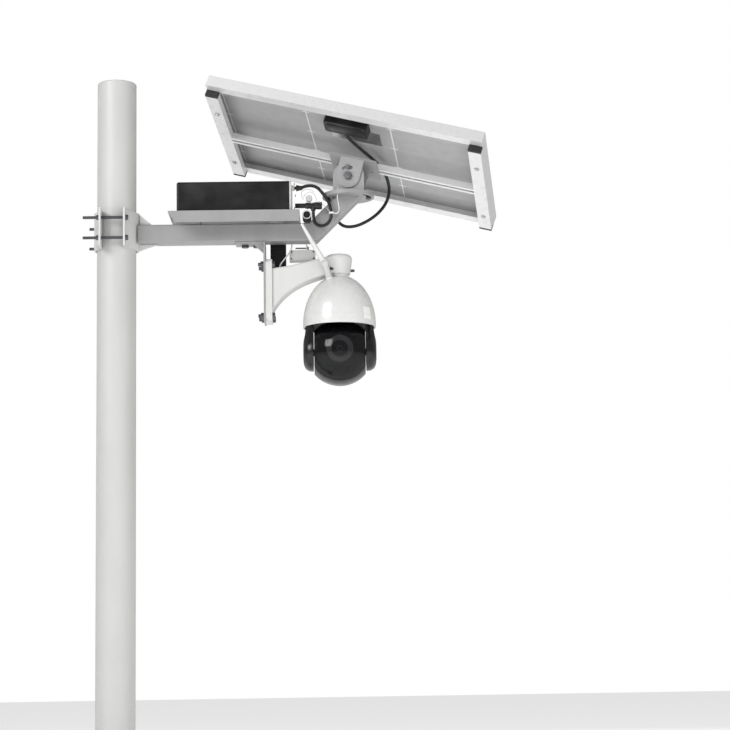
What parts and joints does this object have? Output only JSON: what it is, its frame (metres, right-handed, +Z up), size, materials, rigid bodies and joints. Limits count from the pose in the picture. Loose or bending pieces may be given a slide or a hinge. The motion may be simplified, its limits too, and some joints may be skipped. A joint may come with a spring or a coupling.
{
  "type": "security camera",
  "caption": "Pole-mounted pan and tilt security camera with an adjustable solar panel, a battery on a tray and a folding antenna.",
  "frame": {"origin": "centre of the base flange's underside", "axes": "+Z up along the pole, +X out along the beam, -Y towards the front of the camera"},
  "size_m": [0.9503, 0.4769, 1.537],
  "materials": {
    "pole_paint": "light grey powder coat",
    "clamp_paint": "light grey powder coat on folded steel",
    "fastener": "dark zinc",
    "beam_paint": "mid grey powder coat",
    "case_black": "black, fine grain",
    "case_grey": "grey, fine grain",
    "cells": "wrapped cylindrical cells",
    "arm_white": "white powder coat on a casting",
    "bell_white": "white gloss",
    "antenna_dark": "dark grey, fine grain",
    "motor_steel": "plain steel can",
    "board": "green circuit board",
    "slip_plastic": "black",
    "gear_nylon": "natural nylon",
    "head_black": "black gloss",
    "window": "smoked clear plastic",
    "barrel": "black anodised",
    "lens": "coated glass",
    "lead_rubber": "black jacket",
    "tie_white": "natural nylon",
    "wire_grey": "pale grey jacket",
    "frame_alu": "clear anodised extrusion",
    "panel_glass": "clear toughened glass",
    "cell_blue": "solar cells on a grey backsheet",
    "cap_rubber": "black"
  },
  "bodies": {
    "mast": {"arm_bolts": "fastener", "arm_disc": "beam_paint", "base_flange": "pole_paint", "battery_case": "case_black", "battery_cells": "cells", "battery_end_cap": "case_grey", "battery_lead": "lead_rubber", "beam_gussets": "clamp_paint", "beam_jaw": "clamp_paint", "beam_tube": "beam_paint", "bracket_bolts": "fastener", "cable_ties": "tie_white", "camera_bracket": "beam_paint", "camera_wires": "wire_grey", "cast_arm": "arm_white", "clamp_bolts": "fastener", "clamp_nuts": "fastener", "collar_screws": "fastener", "converter_box": "case_black", "coupler_cap": "case_grey", "housing": "bell_white", "lead_plug": "lead_rubber", "main_board": "board", "network_coupler": "lead_rubber", "pan_motor": "motor_steel", "panel_arm": "beam_paint", "pole_cap": "pole_paint", "pole_tube": "pole_paint", "rear_jaw": "clamp_paint", "slip_ring": "slip_plastic", "terminal_box": "case_grey", "tray": "beam_paint"},
    "pan_pinion": {"pan_pinion": "gear_nylon"},
    "pan_head": {"pan_gear": "gear_nylon", "pan_yoke": "head_black", "yoke_covers": "head_black", "tilt_motor": "motor_steel"},
    "tilt_pinion": {"tilt_pinion": "gear_nylon"},
    "camera_head": {"head_shell": "head_black", "head_window": "window", "lens_barrel": "barrel", "lens_glass": "lens", "sensor_board": "board", "tilt_gear": "gear_nylon"},
    "turntable": {"tilt_yoke": "beam_paint", "turntable_bolts": "fastener", "tilt_bolts": "fastener"},
    "panel": {"saddle": "beam_paint", "frame_long_sides": "frame_alu", "frame_short_sides": "frame_alu", "panel_glass": "panel_glass", "cell_sheet": "cell_blue", "junction_box": "case_black", "junction_lid": "case_black", "centre_rail": "frame_alu", "end_rails": "frame_alu", "rail_end_caps": "cap_rubber", "panel_lead": "lead_rubber"},
    "antenna_base": {"antenna_base": "antenna_dark"},
    "antenna_whip": {"antenna_whip": "bell_white"}
  },
  "joints": [
    {"name": "panel_turn", "type": "hinge", "parent": "mast", "child": "turntable", "pos_m": [0.501, 0, 1.285], "axis": [0, 0, 1], "range_deg": [-30, 30], "deforming": ["panel_lead"]},
    {"name": "panel_tilt", "type": "hinge", "parent": "turntable", "child": "panel", "pos_m": [0.50783, -0.00152, 1.319], "axis": [0.2164, 0.9763, 0], "range_deg": [-20, 25], "deforming": ["panel_lead"]},
    {"name": "camera_pan", "type": "hinge", "parent": "mast", "child": "pan_head", "pos_m": [0.478, 0, 1], "axis": [0, 0, 1], "continuous": true},
    {"name": "pan_pinion_spin", "type": "hinge", "parent": "mast", "child": "pan_pinion", "pos_m": [0.478, 0.045, 1.03], "axis": [0, 0, 1], "continuous": true},
    {"name": "camera_tilt", "type": "hinge", "parent": "pan_head", "child": "camera_head", "pos_m": [0.478, 0, 0.939], "axis": [1, 0, 0], "range_deg": [-15, 90]},
    {"name": "tilt_pinion_spin", "type": "hinge", "parent": "pan_head", "child": "tilt_pinion", "pos_m": [0.407, 0.02121, 0.96021], "axis": [1, 0, 0], "range_deg": [-360, 60]},
    {"name": "antenna_swivel", "type": "hinge", "parent": "mast", "child": "antenna_base", "pos_m": [0.45754, -0.02715, 1.0963], "axis": [-0.2918, -0.3872, 0.8746], "range_deg": [-10, 150]},
    {"name": "antenna_fold", "type": "hinge", "parent": "antenna_base", "child": "antenna_whip", "pos_m": [0.44762, -0.04032, 1.12604], "axis": [0.1225, -0.922, -0.3673], "range_deg": [-11.6, 60]}
  ],
  "couplings": [
    {"joint": "pan_pinion_spin", "follows": "camera_pan", "ratio": -4},
    {"joint": "tilt_pinion_spin", "follows": "camera_tilt", "ratio": -4}
  ]
}
